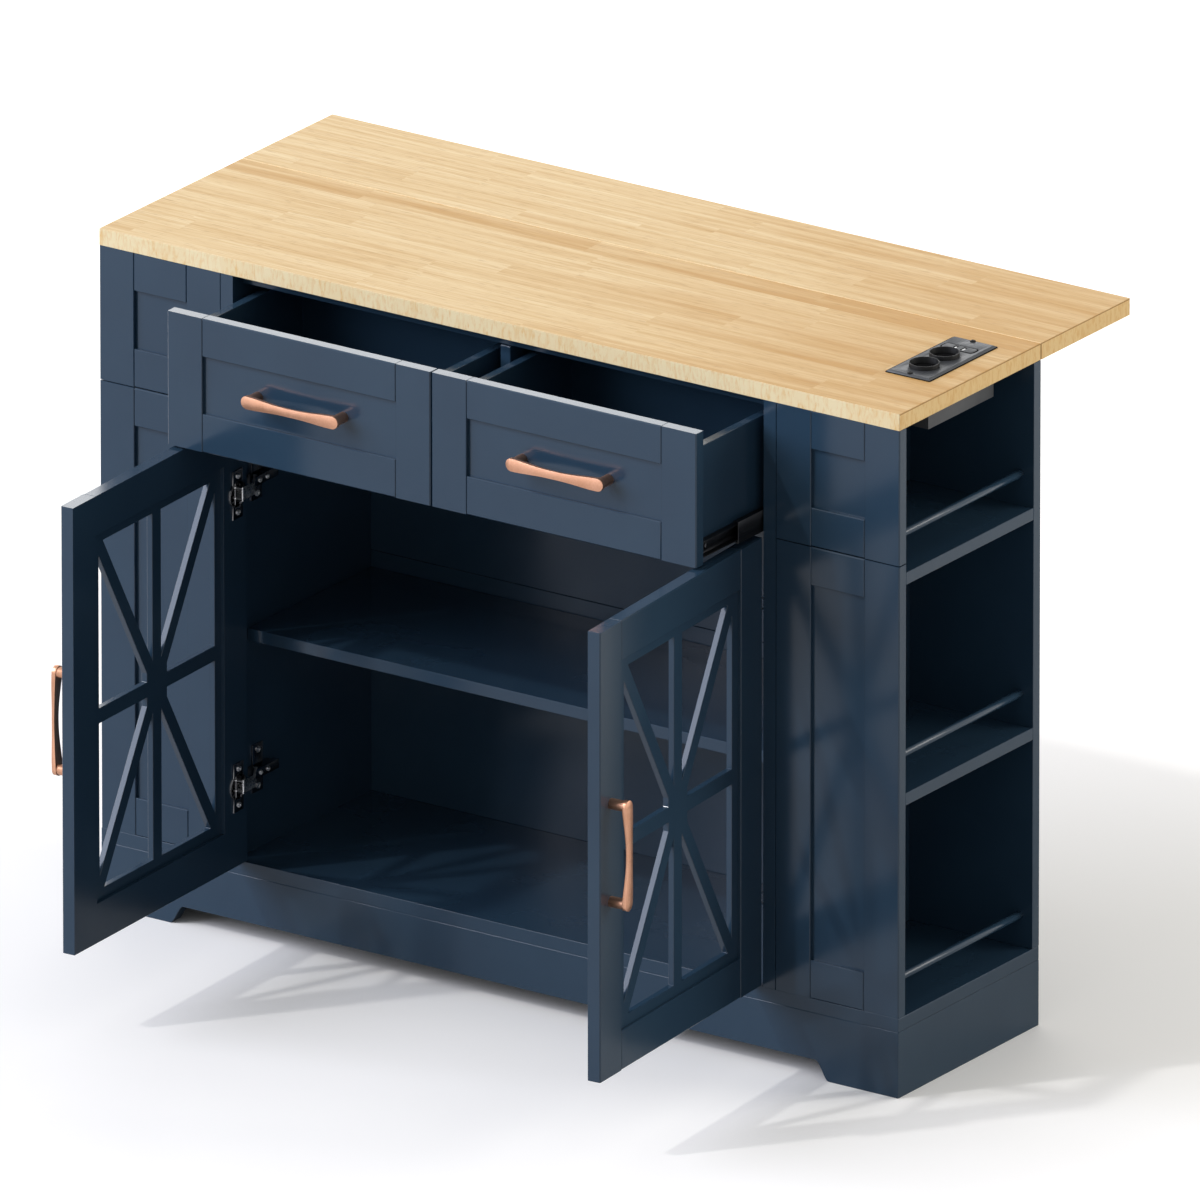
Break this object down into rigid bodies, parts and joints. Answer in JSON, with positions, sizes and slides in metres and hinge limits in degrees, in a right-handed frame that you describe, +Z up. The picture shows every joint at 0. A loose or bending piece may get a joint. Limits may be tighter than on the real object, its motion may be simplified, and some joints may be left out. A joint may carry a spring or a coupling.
{
  "type": "kitchen island unit",
  "caption": "Painted kitchen island with a butcher-block top and rear drop leaf, drawers over lattice doors, open end shelves and a power unit in the top.",
  "frame": {"origin": "on the floor under the middle of the cabinet, at the foot of the centre support leg", "axes": "+X along the worktop to the right as seen from the drawers, +Y to the back where the leaf is, +Z up"},
  "size_m": [1.2, 0.9063, 0.9088],
  "materials": {
    "navy_paint": "satin to semi-gloss navy paint on board, edges eased",
    "oiled_wood": "pale butcher-block staves under clear satin lacquer",
    "copper_plate": "brushed rose-copper plating",
    "nickel_steel": "bright nickel-plated steel",
    "black_zinc": "black zinc-plated slide steel",
    "black_coat": "black powder coat",
    "plate_grey": "satin graphite-grey plate",
    "housing_grey": "matt grey moulded housing",
    "socket_black": "black moulded plastic",
    "usb_grey": "grey moulded insert"
  },
  "bodies": {
    "carcass": {"plinth_front": "navy_paint", "plinth_back": "navy_paint", "plinth_ends": "navy_paint", "centre_leg": "navy_paint", "bottom_board": "navy_paint", "side_left": "navy_paint", "side_right": "navy_paint", "back_panels": "navy_paint", "drawer_deck": "navy_paint", "drawer_divider": "navy_paint", "inner_shelf": "navy_paint", "shelf_pins": "nickel_steel", "top_stretchers": "navy_paint", "tower_left_upper": "navy_paint", "tower_left_lower": "navy_paint", "tower_right_upper": "navy_paint", "tower_right_lower": "navy_paint", "tower_fields": "navy_paint", "tower_back_left": "navy_paint", "tower_back_right": "navy_paint", "end_shelves_left": "navy_paint", "end_shelves_right": "navy_paint", "guard_rails_left": "navy_paint", "guard_rails_right": "navy_paint", "worktop": "oiled_wood", "power_housing": "housing_grey", "power_plate": "plate_grey", "plate_screws": "black_coat", "socket_wells": "socket_black", "usb_module": "usb_grey", "slide_channels": "black_zinc", "hinge_arms": "nickel_steel", "bracket_channels": "black_coat"},
    "left_door": {"left_door_frame": "navy_paint", "left_door_lattice": "navy_paint", "left_door_handle": "copper_plate", "left_hinge_cups": "nickel_steel"},
    "left_links": {"left_hinge_links": "nickel_steel"},
    "right_door": {"right_door_frame": "navy_paint", "right_door_lattice": "navy_paint", "right_door_handle": "copper_plate", "right_hinge_cups": "nickel_steel"},
    "right_links": {"right_hinge_links": "nickel_steel"},
    "left_drawer": {"left_drawer_front": "navy_paint", "left_drawer_field": "navy_paint", "left_drawer_box": "navy_paint", "left_drawer_base": "navy_paint", "left_drawer_handle": "copper_plate", "left_drawer_runners": "black_zinc"},
    "left_slide_mid": {"left_slide_middles": "black_zinc"},
    "right_drawer": {"right_drawer_front": "navy_paint", "right_drawer_field": "navy_paint", "right_drawer_box": "navy_paint", "right_drawer_base": "navy_paint", "right_drawer_handle": "copper_plate", "right_drawer_runners": "black_zinc"},
    "right_slide_mid": {"right_slide_middles": "black_zinc"},
    "leaf": {"leaf_board": "oiled_wood", "leaf_arms": "black_coat"},
    "leaf_brace": {"leaf_braces": "black_coat"}
  },
  "joints": [
    {"name": "left_door", "type": "hinge", "parent": "carcass", "child": "left_door", "pos_m": [-0.3965, -0.156, 0.402], "axis": [0, 0, -1], "range_deg": [-88, 12]},
    {"name": "right_door", "type": "hinge", "parent": "carcass", "child": "right_door", "pos_m": [0.3965, -0.156, 0.402], "axis": [0, 0, 1], "range_deg": [-94, 6]},
    {"name": "left_hinge_link", "type": "hinge", "parent": "left_door", "child": "left_links", "pos_m": [-0.38181, -0.1755, 0.402], "axis": [0, 0, -1], "range_deg": [-11.17, 81.85]},
    {"name": "right_hinge_link", "type": "hinge", "parent": "right_door", "child": "right_links", "pos_m": [0.38393, -0.17693, 0.402], "axis": [0, 0, 1], "range_deg": [-5.46, 85.42]},
    {"name": "left_drawer", "type": "slide", "parent": "carcass", "child": "left_drawer", "axis": [0, -1, 0], "range_m": [-0.145, 0.1]},
    {"name": "right_drawer", "type": "slide", "parent": "carcass", "child": "right_drawer", "axis": [0, -1, 0], "range_m": [-0.145, 0.1]},
    {"name": "left_slide_middle", "type": "slide", "parent": "carcass", "child": "left_slide_mid", "axis": [0, -1, 0], "range_m": [-0.0726, 0.0501]},
    {"name": "right_slide_middle", "type": "slide", "parent": "carcass", "child": "right_slide_mid", "axis": [0, -1, 0], "range_m": [-0.0726, 0.0501]},
    {"name": "leaf_hinge", "type": "hinge", "parent": "carcass", "child": "leaf", "pos_m": [0, 0.165, 0.869], "axis": [-1, 0, 0], "range_deg": [0, 90]},
    {"name": "leaf_brace_hinge", "type": "hinge", "parent": "carcass", "child": "leaf_brace", "pos_m": [0, 0.165, 0.799], "axis": [-1, 0, 0], "range_deg": [0, 134.48]}
  ],
  "couplings": [
    {"joint": "left_hinge_link", "follows": "left_door", "ratio": -0.93005},
    {"joint": "right_hinge_link", "follows": "right_door", "ratio": -0.90862},
    {"joint": "left_slide_middle", "follows": "left_drawer", "ratio": 0.5},
    {"joint": "right_slide_middle", "follows": "right_drawer", "ratio": 0.5},
    {"joint": "leaf_brace_hinge", "follows": "leaf_hinge", "ratio": 1.4936}
  ]
}
